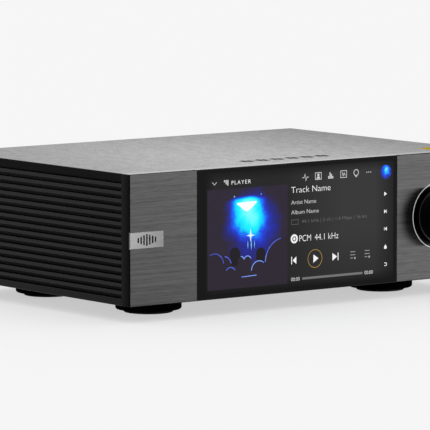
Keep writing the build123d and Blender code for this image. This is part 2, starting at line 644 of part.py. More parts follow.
with BuildPart() as network_jack:
    block(around(lan_spot[0], lan_w), (rear_y - lan_d, rear_y + 0.5), around(lan_spot[1], lan_h))
    block(around(lan_spot[0], 11.9), (rear_y - 14.0, rear_y + 1),
          (lan_spot[1] - 4.6, lan_spot[1] + 3.2), Mode.SUBTRACT)
    block(around(lan_spot[0], 6.2), (rear_y - 9.0, rear_y + 1),
          (lan_spot[1] + 3.2, lan_spot[1] + 5.0), Mode.SUBTRACT)
network_jack.part.label = "network_jack"
export_step(network_jack.part, "parts/network_jack.step")

trigger_bore_r, trigger_bore_l = 1.8, 12.0
with BuildPart() as trigger_jack:
    block(around(trigger_spot[0], 10.0), (case_back - 13.0, case_back), around(trigger_spot[1], 10.0))
    rod_y(*trigger_spot, (case_back, rear_y + 1.0), trigger_r)
    rod_y(*trigger_spot, (rear_y + 1.0 - trigger_bore_l, rear_y + 2.0), trigger_bore_r, Mode.SUBTRACT)
trigger_jack.part.label = "trigger_jack"
export_step(trigger_jack.part, "parts/trigger_jack.step")

with BuildPart() as antenna_jacks:
    for x, z in antenna_spots:
        rod_y(x, z, (case_back - 6.0, rear_y + rear_out), antenna_r)
        with BuildSketch(facing_front(rear_y)):
            with Locations((x, z)):
                RegularPolygon(4.6, 6)
        extrude(amount=-2.0)
        rod_y(x, z, (case_back - 9.0, case_back), 4.6)
        rod_y(x, z, (rear_y + 3.0, rear_y + rear_out + 1), 2.3, Mode.SUBTRACT)
        rod_y(x, z, (rear_y + 3.0, rear_y + rear_out - 1.5), 0.5)
antenna_jacks.part.label = "antenna_jacks"
export_step(antenna_jacks.part, "parts/antenna_jacks.step")

# Mains inlet: a deep socket with three blades; the two lower corners are cut off
inlet_x, inlet_z = inlet_spot
blade_w, blade_h = 2.0, 4.0
blades_at = [(0.0, 3.6), (-7.0, -0.4), (7.0, -0.4)]
inlet_pin_y = rear_y - 24.0, rear_y - 2.0
with BuildPart() as power_inlet:
    block(around(inlet_x, inlet_w + 5.0), (rear_y, rear_y + 2.0), around(inlet_z, inlet_h + 4.0))
    block(around(inlet_x, inlet_w), (rear_y - 21.0, rear_y), around(inlet_z, inlet_h))
    fillet(power_inlet.edges().filter_by(Axis.Y), radius=1.5)
    with BuildSketch(facing_front(rear_y + 2.0)):
        with BuildLine():
            Polyline((inlet_x - 12.1, inlet_z + 8.2), (inlet_x + 12.1, inlet_z + 8.2),
                     (inlet_x + 12.1, inlet_z - 4.2), (inlet_x + 8.1, inlet_z - 8.2),
                     (inlet_x - 8.1, inlet_z - 8.2), (inlet_x - 12.1, inlet_z - 4.2), close=True)
        make_face()
    extrude(amount=18.0, mode=Mode.SUBTRACT)
    for px, pz in blades_at:
        block(around(inlet_x + px, blade_w), inlet_pin_y, around(inlet_z + pz, blade_h), Mode.SUBTRACT)
power_inlet.part.label = "power_inlet"
export_step(power_inlet.part, "parts/power_inlet.step")

with BuildPart() as inlet_pins:
    for px, pz in blades_at:
        block(around(inlet_x + px, blade_w), inlet_pin_y, around(inlet_z + pz, blade_h))
    chamfer(inlet_pins.faces().group_by(Axis.Y)[-1].edges(), length=0.5)
inlet_pins.part.label = "inlet_pins"
export_step(inlet_pins.part, "parts/inlet_pins.step")

# Rocker switch: it rests tilted to one side and swings through twice the tilt
rocker_tilt = 10.0
rocker_r = 8.3
rocker_w = 10.6
pivot_y = rear_y - 1.5
pivot_r = 1.2
switch_x, switch_z = rocker_spot
with BuildPart() as switch_frame:
    block(around(switch_x, switch_w + 1.4), (rear_y, rear_y + 1.6), around(switch_z, switch_h + 3.0))
    block(around(switch_x, switch_w), (rear_y - 16.0, rear_y), around(switch_z, switch_h))
    block(around(switch_x, rocker_w + 0.6), (rear_y - 11.5, rear_y + 2.0),
          around(switch_z, 2 * rocker_r + 0.6), Mode.SUBTRACT)
    rod_x(pivot_y, switch_z, around(switch_x, rocker_w + 2.8), pivot_r + 0.05, Mode.SUBTRACT)
switch_frame.part.label = "switch_frame"
export_step(switch_frame.part, "parts/switch_frame.step")

tilt = radians(rocker_tilt)
with BuildPart() as power_rocker:
    # In this sketch x is up along the tilted rocker and y points inwards: the outer face has y < 0.
    with BuildSketch(Plane(origin=(switch_x, pivot_y, switch_z), x_dir=(0, sin(tilt), cos(tilt)),
                           z_dir=(1, 0, 0))):
        Circle(rocker_r)
        with BuildLine():
            Polyline((-9.0, 4.0), (9.0, 4.0), (9.0, -5.6), (0.0, -4.0), (-9.0, -5.6), close=True)
        make_face(mode=Mode.INTERSECT)
    extrude(amount=rocker_w / 2, both=True)
    rod_x(pivot_y, switch_z, around(switch_x, rocker_w + 2.2), pivot_r)
power_rocker.part.label = "power_rocker"
export_step(power_rocker.part, "parts/power_rocker.step")

# ---------------------------------------------------------------- boards and what they carry
with BuildPart() as main_board:
    block(main_x, main_y, (board_z, deck_z))
    block(around(lcd_x, ribbon_w + 4), (ribbon_end, ribbon_end + 4.0), (deck_z, deck_z + 3.0))
    for x, y in main_posts:
        rod_z(x, y, (board_z, deck_z), thread_r + 0.2, Mode.SUBTRACT)
main_board.part.label = "main_board"
export_step(main_board.part, "parts/main_board.step")

chip_y = main_y[1] - 52.0
with BuildPart() as dac_chips:
    for x in (96.0, 76.0):
        block(around(x, 10.0), around(chip_y, 10.0), (deck_z, deck_z + 1.4))
    block(around(40.0, 14.0), around(chip_y - 6, 14.0), (deck_z, deck_z + 1.6))
    chamfer(dac_chips.faces().group_by(Axis.Z)[-1].edges(), length=0.3)
dac_chips.part.label = "dac_chips"
export_step(dac_chips.part, "parts/dac_chips.step")

with BuildPart() as audio_capacitors:
    for row in (0.0, 14.0):
        for x in (58.0, 69.0, 80.0, 91.0, 102.0):
            rod_z(x, main_y[0] + 18.0 + row, (deck_z, deck_z + 16.0), 4.0)
    fillet(audio_capacitors.faces().group_by(Axis.Z)[-1].edges(), radius=0.6)
audio_capacitors.part.label = "audio_capacitors"
export_step(audio_capacitors.part, "parts/audio_capacitors.step")

soc_x, soc_y = -30.0, main_y[0] + 44.0
with BuildPart() as soc_module:
    block(around(soc_x, 52.0), around(soc_y, 42.0), (deck_z + 3.0, deck_z + 4.2))
    block(around(soc_x, 40.0), around(soc_y, 6.0), (deck_z, deck_z + 3.0))
    block(around(soc_x, 16.0), around(soc_y, 16.0), (deck_z + 4.2, deck_z + 5.6))
soc_module.part.label = "soc_module"
export_step(soc_module.part, "parts/soc_module.step")

fin_n = 9
with BuildPart() as soc_heatsink:
    block(around(soc_x, 40.0), around(soc_y, 40.0), (deck_z + 5.6, deck_z + 8.6))
    for i in range(fin_n):
        block(around(soc_x + (i - (fin_n - 1) / 2) * 4.6, 1.2), around(soc_y, 40.0), (deck_z + 8.6, deck_z + 19.0))
soc_heatsink.part.label = "soc_heatsink"
export_step(soc_heatsink.part, "parts/soc_heatsink.step")

with BuildPart() as psu_board:
    block(psu_x, psu_y, (board_z, deck_z))
    for x, y in psu_posts:
        rod_z(x, y, (board_z, deck_z), thread_r + 0.2, Mode.SUBTRACT)
psu_board.part.label = "psu_board"
export_step(psu_board.part, "parts/psu_board.step")

psu_mid = sum(psu_x) / 2
with BuildPart() as psu_transformer:
    block(around(psu_mid, 30.0), around(psu_y[0] + 62.0, 26.0), (deck_z, deck_z + 6.0))
    block(around(psu_mid, 22.0), around(psu_y[0] + 62.0, 22.0), (deck_z + 6.0, deck_z + 20.0))
    block(around(psu_mid, 30.0), around(psu_y[0] + 62.0, 26.0), (deck_z + 20.0, deck_z + 26.0))
    fillet(psu_transformer.edges().filter_by(Axis.Z), radius=1.5)
psu_transformer.part.label = "psu_transformer"
export_step(psu_transformer.part, "parts/psu_transformer.step")

with BuildPart() as psu_capacitors:
    for x, y, radius, height in ((psu_mid - 12, psu_y[0] + 88.0, 9.0, 30.0),
                                 (psu_mid + 10, psu_y[0] + 88.0, 9.0, 30.0),
                                 (psu_mid - 14, psu_y[0] + 22.0, 6.5, 22.0),
                                 (psu_mid, psu_y[0] + 22.0, 6.5, 22.0),
                                 (psu_mid + 14, psu_y[0] + 22.0, 6.5, 22.0)):
        rod_z(x, y, (deck_z, deck_z + height), radius)
psu_capacitors.part.label = "psu_capacitors"
export_step(psu_capacitors.part, "parts/psu_capacitors.step")

# A folded sheet screens the supply from the audio side, with a row of cooling slots
screen_x = psu_x[1] + 1.5
with BuildPart() as psu_cover:
    block((screen_x, screen_x + 1.0), psu_y, (floor_z, cover_z - 4.5))
    block((psu_x[0], screen_x + 1.0), psu_y, (cover_z - 5.5, cover_z - 4.5))
    with BuildSketch(Plane.YZ.offset(screen_x)):
        with Locations((sum(psu_y) / 2, mid_z + 8.0)):
            with GridLocations(7.0, 0, 12, 1):
                SlotOverall(24.0, 3.0, rotation=90)
    extrude(amount=1.0, mode=Mode.SUBTRACT)
psu_cover.part.label = "psu_cover"
export_step(psu_cover.part, "parts/psu_cover.step")

# ---------------------------------------------------------------- standoffs and screws
with BuildPart() as standoffs:
    with BuildSketch(Plane.XY.offset(floor_z)):
        with Locations(*main_posts, *psu_posts):
            RegularPolygon(3.2, 6)
            Circle(thread_r, mode=Mode.SUBTRACT)
    extrude(amount=standoff_h)
standoffs.part.label = "standoffs"
export_step(standoffs.part, "parts/standoffs.step")

with BuildPart() as inner_screws:
    for x, y in main_posts + psu_posts:
        rod_z(x, y, (deck_z, deck_z + head_h), head_r)
        rod_z(x, y, (deck_z - thread_l, deck_z), thread_r)
    for x, z in bracket_holes:
        seat = panel_back + bracket_t
        rod_y(x, z, (seat, seat + head_h), head_r)
        rod_y(x, z, (seat - thread_l, seat), thread_r)
inner_screws.part.label = "inner_screws"
export_step(inner_screws.part, "parts/inner_screws.step")

with BuildPart() as case_screws:
    for x, z in case_screw_spots + lid_screw_spots:
        rod_y(x, z, (rear_y, rear_y + head_h), head_r)
        rod_y(x, z, (rear_y - thread_l, rear_y), thread_r)
    for x, y in hatch_screws:
        rod_z(x, y, (under_z, under_z + 1.0), head_r)
        rod_z(x, y, (under_z + 1.0, floor_z + 1.0), thread_r)
case_screws.part.label = "case_screws"
export_step(case_screws.part, "parts/case_screws.step")
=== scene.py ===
import json
from math import cos, pi, radians, sin

import bmesh
import bpy
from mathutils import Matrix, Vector

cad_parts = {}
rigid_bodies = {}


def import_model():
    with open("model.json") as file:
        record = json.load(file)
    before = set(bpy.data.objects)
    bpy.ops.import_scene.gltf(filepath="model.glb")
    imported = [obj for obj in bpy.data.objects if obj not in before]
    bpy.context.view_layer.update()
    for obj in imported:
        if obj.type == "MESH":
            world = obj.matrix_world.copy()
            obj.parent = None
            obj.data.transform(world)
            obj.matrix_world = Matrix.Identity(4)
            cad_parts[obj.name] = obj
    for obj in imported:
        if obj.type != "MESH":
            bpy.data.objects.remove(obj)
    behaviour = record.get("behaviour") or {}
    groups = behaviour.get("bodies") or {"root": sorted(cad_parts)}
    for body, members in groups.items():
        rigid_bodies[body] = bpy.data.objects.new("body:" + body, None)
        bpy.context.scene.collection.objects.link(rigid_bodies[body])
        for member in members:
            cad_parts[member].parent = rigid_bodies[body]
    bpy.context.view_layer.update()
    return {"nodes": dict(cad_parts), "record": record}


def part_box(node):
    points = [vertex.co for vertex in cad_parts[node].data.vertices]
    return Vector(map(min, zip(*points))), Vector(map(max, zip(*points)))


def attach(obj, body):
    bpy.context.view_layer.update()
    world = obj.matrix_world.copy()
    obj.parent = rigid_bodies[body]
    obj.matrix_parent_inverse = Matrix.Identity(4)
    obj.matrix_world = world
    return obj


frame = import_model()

# A desktop network player and DAC in a plain studio. Lengths are in metres, except where a value goes
# through mm() or a comment says millimetres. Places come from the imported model's boxes.


def mm(value):
    return value / 1000


def link_in(thing):
    """Puts a new object into the scene."""
    bpy.context.scene.collection.objects.link(thing)


# ------------------------------------------------------------------ places taken from the frame
front_low, front_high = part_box("front_panel")
rear_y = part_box("rear_panel")[1].y
glass_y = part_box("screen_glass")[0].y
case_left, case_under = front_low.x, front_low.z
case_middle = Vector((0, (front_low.y + rear_y) / 2, (front_low.z + front_high.z) / 2))

# ------------------------------------------------------------------ camera
view_azimuth = radians(-37.557)
view_elevation = radians(6.09)
view_distance = 2.7987
view_drop = mm(1.23)
view_aside = mm(0.22)
view_limit = 50
lens_length, sensor_width = 377.85, 36  # millimetres

forward = Vector((-sin(view_azimuth) * cos(view_elevation), cos(view_azimuth) * cos(view_elevation),
                  -sin(view_elevation)))
aside = Vector((cos(view_azimuth), sin(view_azimuth), 0))
camera_data = bpy.data.cameras.new("camera")
camera_data.lens = lens_length
camera_data.sensor_width = sensor_width
camera_data.clip_end = view_limit
camera = bpy.data.objects.new("camera", camera_data)
camera.rotation_euler = forward.to_track_quat("-Z", "Y").to_euler()
camera.location = case_middle - forward * view_distance - Vector((0, 0, view_drop)) + aside * view_aside
link_in(camera)
bpy.context.scene.camera = camera
bpy.context.scene.view_settings.view_transform = "Standard"


# ------------------------------------------------------------------ shader building
def shader(tree, kind, inputs=None, **settings):
    """Adds a shader node, sets its properties, and sets or links its inputs."""
    made = tree.nodes.new("ShaderNode" + kind)
    for key, value in settings.items():
        setattr(made, key, value)
    for key, value in (inputs or {}).items():
        if isinstance(value, bpy.types.NodeSocket):
            tree.links.new(value, made.inputs[key])
        else:
            made.inputs[key].default_value = value
    return made


def calc(tree, operation, *values):
    """The result of a math node."""
    return shader(tree, "Math", dict(enumerate(values)), operation=operation).outputs[0]


def blank(name):
    """A new material, its node tree and its principled shader."""
    made = bpy.data.materials.new(name)
    made.use_nodes = True
    return made, made.node_tree, made.node_tree.nodes["Principled BSDF"]


def object_place(tree):
    """The X, Y and Z of a point in the object's own space."""
    place = shader(tree, "TexCoord")
    return shader(tree, "SeparateXYZ", {"Vector": place.outputs["Object"]}).outputs


def facing(tree):
    """The X, Y and Z of the direction that the surface faces."""
    normal = shader(tree, "NewGeometry").outputs["Normal"]
    return shader(tree, "SeparateXYZ", {"Vector": normal}).outputs


def place_noise(tree, scale, detail=4.0, roughness=0.6):
    """Noise over the object's own place, stretched by the three scales (cycles per metre)."""
    place = shader(tree, "TexCoord")
    spread = shader(tree, "Mapping", {"Vector": place.outputs["Object"], "Scale": scale})
    return shader(tree, "TexNoise", {"Vector": spread.outputs["Vector"], "Scale": 1.0,
                                     "Detail": detail, "Roughness": roughness}).outputs["Fac"]


def spread_of(tree, value, low, high, start=0.3, end=0.7):
    """Maps a value from start..end to low..high. Noise lies mostly between 0.3 and 0.7."""
    return shader(tree, "MapRange", {"Value": value, "From Min": start, "From Max": end,
                                     "To Min": low, "To Max": high}).outputs["Result"]


def across_case(tree, low, high, start, end):
    """Goes from low to high between two distances from the case's left edge, in millimetres."""
    return spread_of(tree, object_place(tree)["X"], low, high, case_left + mm(start), case_left + mm(end))


def up_case(tree, low, high, start, end):
    """Goes from low to high between two heights over the case's underside, in millimetres."""
    return spread_of(tree, object_place(tree)["Z"], low, high, case_under + mm(start), case_under + mm(end))


def total_of(tree, *layers):
    """Adds up values, each times its weight."""
    total = 0.0
    for value, weight in layers:
        total = calc(tree, "MULTIPLY_ADD", value, weight, total)
    return total


def between(tree, factor, first, second):
    """Mixes two colours."""
    mix = shader(tree, "Mix", data_type="RGBA")
    tree.links.new(factor, mix.inputs["Factor"])
    for socket, value in ((mix.inputs["A"], first), (mix.inputs["B"], second)):
        if isinstance(value, bpy.types.NodeSocket):
            tree.links.new(value, socket)
        else:
            socket.default_value = (*value, 1)
    return mix.outputs["Result"]


def ramp(tree, value, stops):
    """A colour ramp with (position, colour) stops."""
    made = shader(tree, "ValToRGB", {"Fac": value})
    points = made.color_ramp.elements
    while len(points) < len(stops):
        points.new(0.5)
    for point, (position, colour) in zip(points, stops):
        point.position = position
        point.color = (*colour, 1)
    return made.outputs["Color"]


def dress(tree, bsdf, colour, gloss, height, bump, bump_height=mm(0.03)):
    """Links a colour, a roughness and a relief to a shader."""
    relief = shader(tree, "Bump", {"Height": height, "Strength": bump, "Distance": bump_height})
    tree.links.new(colour, bsdf.inputs["Base Color"])
    tree.links.new(gloss, bsdf.inputs["Roughness"])
    tree.links.new(relief.outputs["Normal"], bsdf.inputs["Normal"])


# ------------------------------------------------------------------ materials
black = 0.0, 0.0, 0.0
white = 1.0, 1.0, 1.0


def surface(name, colour, roughness, metallic=0.0, grain=(900, 900, 900), uneven=0.08,
            rough_uneven=0.05, bump=0.1, bump_height=mm(0.03), blotch=0.0, specular=0.5):
    """A finish with fine grain in its colour, gloss and relief, and slow blotches in its gloss."""
    made, tree, bsdf = blank(name)
    fine = place_noise(tree, grain)
    darker = [channel * (1 - uneven) for channel in colour]
    lighter = [min(1, channel * (1 + uneven)) for channel in colour]
    gloss = spread_of(tree, fine, roughness - rough_uneven, roughness + rough_uneven)
    if blotch:
        slow = place_noise(tree, (18, 18, 18), detail=2.0)
        gloss = calc(tree, "ADD", gloss, spread_of(tree, slow, -blotch, blotch))
    dress(tree, bsdf, between(tree, fine, darker, lighter), gloss, fine, bump, bump_height)
    bsdf.inputs["Metallic"].default_value = metallic
    bsdf.inputs["Specular IOR Level"].default_value = specular
    return made


def brushed_front_with_painted_light():
    """Horizontal scratches of three sizes, with painted light that makes the panel a little brighter towards
    its lower right. The panel's top face carries a painted highlight, and its cut edges carry painted shade,
    darkest next to the front."""
    made, tree, bsdf = blank("brushed_aluminium")
    fine = place_noise(tree, (110, 400, 2300), detail=3.0)
    coarse = place_noise(tree, (14, 60, 2000), detail=2.0)
    broad = place_noise(tree, (9, 30, 520), detail=2.0, roughness=0.5)
    streaks = total_of(tree, (fine, 0.4), (coarse, 0.35), (broad, 0.25))
    dark_streak, pale_streak = (0.0240, 0.0240, 0.0244), (0.0466, 0.0466, 0.0470)
    tone = between(tree, spread_of(tree, streaks, 0, 1, start=0.4, end=0.6), dark_streak, pale_streak)
    place = object_place(tree)
    # Painted light: the tone is raised a little towards the panel's lower right.
    right = spread_of(tree, place["X"], -0.095, 0.115, start=front_low.x, end=front_high.x)
    low = spread_of(tree, place["Z"], 1, 0, start=front_low.z, end=front_high.z)
    tone = between(tree, calc(tree, "MULTIPLY_ADD", right, low, 0.885), black, tone)

    side = facing(tree)
    is_front = spread_of(tree, side["Y"], 1, 0, start=-0.9, end=-0.8)
    # Painted highlight on the top face, and painted shade on the cut edges, darkest next to the front.
    top_painted_highlight = spread_of(tree, side["Z"], 0, 1, start=0.8, end=0.9)
    back = spread_of(tree, place["Y"], 0, 1, start=front_low.y, end=front_high.y)
    painted_shade_cut_edges = between(tree, back, (0.0035, 0.0035, 0.0037), (0.0135, 0.0135, 0.0139))
    edges = between(tree, top_painted_highlight, painted_shade_cut_edges, (0.15, 0.15, 0.15))
    gloss = spread_of(tree, streaks, 0.34, 0.40, start=0.4, end=0.6)
    dress(tree, bsdf, between(tree, is_front, edges, tone), gloss, streaks, 0.15, mm(0.02))
    tree.links.new(is_front, bsdf.inputs["Metallic"])
    bsdf.inputs["Specular IOR Level"].default_value = 0.0
    bsdf.inputs["Anisotropic"].default_value = 0.4
    bsdf.inputs["Anisotropic Rotation"].default_value = 0.25
    return made


def blasted_top_with_painted_shade():
    """Fine grain over slow mottling. The rim and the cut edge above it carry painted shade, dark like the
    ribs, and the flat carries painted shade that darkens it away from a line left of its middle, less so at
    the back right."""
    made, tree, bsdf = blank("blasted_aluminium")
    fine = place_noise(tree, (1000, 500, 1000), detail=3.0)
    mottle = place_noise(tree, (300, 130, 300), roughness=0.7)
    grain = total_of(tree, (fine, 0.5), (mottle, 0.5))
    grains = between(tree, spread_of(tree, grain, 0, 1, start=0.38, end=0.62),
                     (0.111, 0.111, 0.113), (0.174, 0.174, 0.176))
    place = object_place(tree)
    # Painted shade: the flat's tone darkens away from a line left of its middle, where it is brightest, and
    # less so at the back right.
    brightest_x = mm(-10)
    away = calc(tree, "ABSOLUTE", calc(tree, "SUBTRACT", place["X"], brightest_x))
    right = spread_of(tree, place["X"], 0, 0.6, start=0, end=mm(60))
    back_right = calc(tree, "MULTIPLY", calc(tree, "MAXIMUM", place["Y"], 0), right)
    shade = spread_of(tree, calc(tree, "SUBTRACT", away, back_right), 0, 0.27, start=mm(30), end=mm(145))
    tone = between(tree, shade, grains, (0.04, 0.04, 0.04))
    # Painted shade: the rim and the cut edge, which are not flat, get a near-black colour.
    is_flat = spread_of(tree, facing(tree)["Z"], 0, 1, start=0.9, end=0.97)
    dress(tree, bsdf, between(tree, is_flat, (0.006, 0.006, 0.0063), tone),
          spread_of(tree, grain, 0.42, 0.52), fine, 0.3)
    bsdf.inputs["Metallic"].default_value = 0.15
    bsdf.inputs["Specular IOR Level"].default_value = 0.0
    return made


def screen_glass_with_painted_highlight():
    """Black-backed and glossy, with a painted highlight on the polished edge along the top."""
    made, tree, bsdf = blank("screen_glass")
    smears = place_noise(tree, (30, 30, 30), detail=3.0)
    # Painted highlight: the faces along the top get a pale colour.
    top_painted_highlight = spread_of(tree, facing(tree)["Z"], 0, 1, start=0.8, end=0.9)
    tone = between(tree, top_painted_highlight, (0.002, 0.002, 0.002), (0.17, 0.17, 0.17))
    tree.links.new(tone, bsdf.inputs["Base Color"])
    tree.links.new(spread_of(tree, smears, 0.03, 0.06), bsdf.inputs["Roughness"])
    bsdf.inputs["Specular IOR Level"].default_value = 0.1
    return made


def rib_metal_and_painted_shade():
    """Dark metal, with painted shade that darkens the floors of the grooves and the band under the lowest
    one.
    """
    made, tree, bsdf = blank("rib_aluminium")
    floor_x, crest_x = mm(131.2), mm(134.4)
    band_top, ribs_from = 3.8, 4.6  # millimetres over the underside
    fine = place_noise(tree, (1400, 1400, 1400))
    away = calc(tree, "ABSOLUTE", object_place(tree)["X"])
    # Painted shade: the groove floors get a near-black colour.
    lit = spread_of(tree, away, 0, 1, start=floor_x, end=crest_x)
    # Painted shade: the band under the lowest groove is darker than the ribs.
    band = between(tree, fine, (0.006, 0.006, 0.0063), (0.0085, 0.0085, 0.0088))
    ribs = between(tree, fine, (0.0125, 0.0125, 0.013), (0.0165, 0.0165, 0.017))
    crests = between(tree, up_case(tree, 0, 1, band_top, ribs_from), band, ribs)
    dress(tree, bsdf, between(tree, lit, (0.003, 0.003, 0.003), crests),
          spread_of(tree, fine, 0.36, 0.46), fine, 0.1)
    bsdf.inputs["Metallic"].default_value = 1.0
    return made


def badge_metal_and_painted_shade():
    """Bright brushed metal, with painted shade that darkens it a little towards its right end."""
    made, tree, bsdf = blank("badge_metal")
    badge_end = 24.0  # millimetres from the case's left edge
    fine = place_noise(tree, (120, 400, 2600))
    # Painted shade: the tone darkens from the badge's left end towards its right.
    tone = between(tree, across_case(tree, 0, 1, 0, badge_end), (0.133, 0.133, 0.134), (0.088, 0.088, 0.089))
    scratched = between(tree, spread_of(tree, fine, 0.2, 0), tone, (0.06, 0.06, 0.06))
    dress(tree, bsdf, scratched, spread_of(tree, fine, 0.32, 0.44), fine, 0.2)
    bsdf.inputs["Metallic"].default_value = 1.0
    return made


def light_guide_finish():
    """A pale guide, lit unevenly from behind."""
    made, tree, bsdf = blank("light_guide")
    slow = place_noise(tree, (90, 90, 90), detail=2.0)
    light = between(tree, slow, (0.86, 0.90, 0.95), (0.95, 0.98, 1.0))
    tree.links.new(light, bsdf.inputs["Emission Color"])
    bsdf.inputs["Emission Strength"].default_value = 0.5
    bsdf.inputs["Base Color"].default_value = (0.12, 0.12, 0.125, 1)
    bsdf.inputs["Roughness"].default_value = 0.4
    return made


# Finishes without a pattern of their own. The grain of a turned or brushed part is drawn out along the
# axes where its three scales are smallest.
plain_finishes = {
    "back_paint": dict(colour=(0.018, 0.018, 0.019), roughness=0.55, grain=(1100, 1100, 1100), uneven=0.2,
                       rough_uneven=0.06, bump=0.6, bump_height=mm(0.06), blotch=0.05),
    "hatch_paint": dict(colour=(0.03, 0.03, 0.032), roughness=0.5, grain=(1100, 1100, 1100), uneven=0.2,
                        rough_uneven=0.06, bump=0.6, bump_height=mm(0.06)),
    "display_face": dict(colour=(0.012, 0.012, 0.013), roughness=0.3, uneven=0.1),
    "zinc_steel": dict(colour=(0.55, 0.55, 0.52), roughness=0.35, metallic=1.0, grain=(400, 400, 400),
                       uneven=0.1, rough_uneven=0.08),
    "ribbon_film": dict(colour=(0.5, 0.28, 0.06), roughness=0.4, grain=(300, 300, 300), uneven=0.1),
    "dark_inlay": dict(colour=(0.004, 0.004, 0.0042), roughness=0.6, uneven=0.15, specular=0.0),
    "gold_label": dict(colour=(0.155, 0.105, 0.002), roughness=0.5, grain=(500, 500, 500), uneven=0.12,
                       rough_uneven=0.06, specular=0.0),
    "black_plastic": dict(colour=(0.003, 0.003, 0.0032), roughness=0.5, uneven=0.2, bump=0.2,
                          specular=0.2),
    "circuit_board": dict(colour=(0.01, 0.06, 0.03), roughness=0.35, grain=(500, 500, 500), uneven=0.3),
    "shaft_steel": dict(colour=(0.55, 0.55, 0.55), roughness=0.25, metallic=1.0, grain=(400, 4000, 400),
                        uneven=0.1),
    "knob_metal": dict(colour=(0.024, 0.024, 0.0245), roughness=0.12, metallic=1.0,
                       grain=(900, 5000, 900), uneven=0.15, rough_uneven=0.02, bump=0.05, blotch=0.01),
    "knob_face_metal": dict(colour=(0.03, 0.03, 0.031), roughness=0.28, metallic=1.0,
                            grain=(2500, 900, 2500), uneven=0.15, bump=0.15),
    "black_screw": dict(colour=(0.05, 0.05, 0.052), roughness=0.3, metallic=1.0, uneven=0.2),
    # The feet are black plastic; foot_plastic is pushed darker still as painted shade under the case.
    "foot_plastic": dict(colour=(0.0008, 0.0008, 0.0008), roughness=0.4, grain=(800, 800, 800),
                         uneven=0.2, rough_uneven=0.06, bump=0.15, specular=0.0),
    "foot_rubber": dict(colour=(0.003, 0.003, 0.003), roughness=0.75, grain=(700, 700, 700), uneven=0.25,
                        rough_uneven=0.08, bump=0.5, bump_height=mm(0.08), specular=0.05),
    "brass_posts": dict(colour=(0.65, 0.45, 0.18), roughness=0.3, metallic=1.0, uneven=0.1),
    "socket_shell": dict(colour=(0.007, 0.007, 0.0073), roughness=0.35, uneven=0.2, bump=0.3),
    "contact_gold": dict(colour=(0.85, 0.6, 0.22), roughness=0.2, metallic=1.0, grain=(600, 2500, 600),
                         uneven=0.06),
    "socket_plastic": dict(colour=(0.006, 0.006, 0.0063), roughness=0.4, uneven=0.2, bump=0.25),
    "shutter_plastic": dict(colour=(0.016, 0.016, 0.017), roughness=0.3, uneven=0.15),
    "socket_steel": dict(colour=(0.6, 0.6, 0.59), roughness=0.3, metallic=1.0, grain=(500, 500, 500),
                         uneven=0.1),
    "contact_steel": dict(colour=(0.65, 0.65, 0.64), roughness=0.22, metallic=1.0),
    "rocker_plastic": dict(colour=(0.005, 0.005, 0.005), roughness=0.2, uneven=0.15),
    "chip_plastic": dict(colour=(0.02, 0.02, 0.02), roughness=0.6, uneven=0.2, bump=0.4),
    "capacitor_sleeve": dict(colour=(0.015, 0.015, 0.03), roughness=0.3, uneven=0.15),
    "heatsink_metal": dict(colour=(0.03, 0.03, 0.03), roughness=0.4, metallic=1.0, uneven=0.15),
    "ferrite": dict(colour=(0.05, 0.05, 0.053), roughness=0.7, uneven=0.2, bump=0.4),
}
finishes = {name: surface(name, **settings) for name, settings in plain_finishes.items()}
finishes["brushed_aluminium"] = brushed_front_with_painted_light()
finishes["blasted_aluminium"] = blasted_top_with_painted_shade()
finishes["screen_glass"] = screen_glass_with_painted_highlight()
finishes["rib_aluminium"] = rib_metal_and_painted_shade()
finishes["badge_metal"] = badge_metal_and_painted_shade()
finishes["light_guide"] = light_guide_finish()

for part in frame["record"]["subparts"]:
    data = frame["nodes"][part["node"]].data
    data.materials.clear()
    data.materials.append(finishes[part["material_slot"]])


# ------------------------------------------------------------------ flat shapes on the front and back
def on_front(x, z, y):
    """A point given in millimetres from the case's left edge and underside, at depth y."""
    return Vector((case_left + mm(x), y, case_under + mm(z)))


def piece_from(name, build, material, body="root"):
    """Makes an object from a function that fills a bmesh, and lets it ride on a body."""
    mesh = bpy.data.meshes.new(name)
    bm = bmesh.new()
    build(bm)
    bm.normal_update()
    bm.to_mesh(mesh)
    bm.free()
    made = bpy.data.objects.new(name, mesh)
    link_in(made)
    mesh.materials.append(material)
    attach(made, body)


def outline(bm, points, y):
    """Adds one flat face facing the front, from points (x, z) in panel millimetres."""
    bm.faces.new([bm.verts.new(on_front(x, z, y)) for x, z in points])


def bar(bm, x0, x1, z0, z1, y):
    outline(bm, [(x0, z0), (x1, z0), (x1, z1), (x0, z1)], y)


def diamond(bm, x, z, half_width, half_height, y):
    outline(bm, [(x, z - half_height), (x + half_width, z), (x, z + half_height), (x - half_width, z)], y)


def arrow(bm, back, tip, z, half_height, y):
    """Adds a triangle that points to the left or right, from its upright back to its tip."""
    rise = half_height if tip > back else -half_height
    outline(bm, [(back, z - rise), (tip, z), (back, z + rise)], y)


def circle_points(x, z, radius, count=48):
    turns = [2 * pi * i / count for i in range(count)]
    return [(x + radius * cos(turn), z + radius * sin(turn)) for turn in turns]


def disc(bm, x, z, radius, count, y):
    outline(bm, circle_points(x, z, radius, count), y)


def ring(bm, x, z, inner, outer, y, count=64):
    """Adds a flat ring."""
    inside = [bm.verts.new(on_front(px, pz, y)) for px, pz in circle_points(x, z, inner, count)]
    outside = [bm.verts.new(on_front(px, pz, y)) for px, pz in circle_points(x, z, outer, count)]
    for i in range(count):
        j = (i + 1) % count
        bm.faces.new((inside[i], outside[i], outside[j], inside[j]))


def frame_lines(bm, x0, x1, z0, z1, line, y):
    """Adds the four thin sides of a rectangle."""
    bar(bm, x0, x1, z0, z0 + line, y)
    bar(bm, x0, x1, z1 - line, z1, y)
    bar(bm, x0, x0 + line, z0 + line, z1 - line, y)
    bar(bm, x1 - line, x1, z0 + line, z1 - line, y)


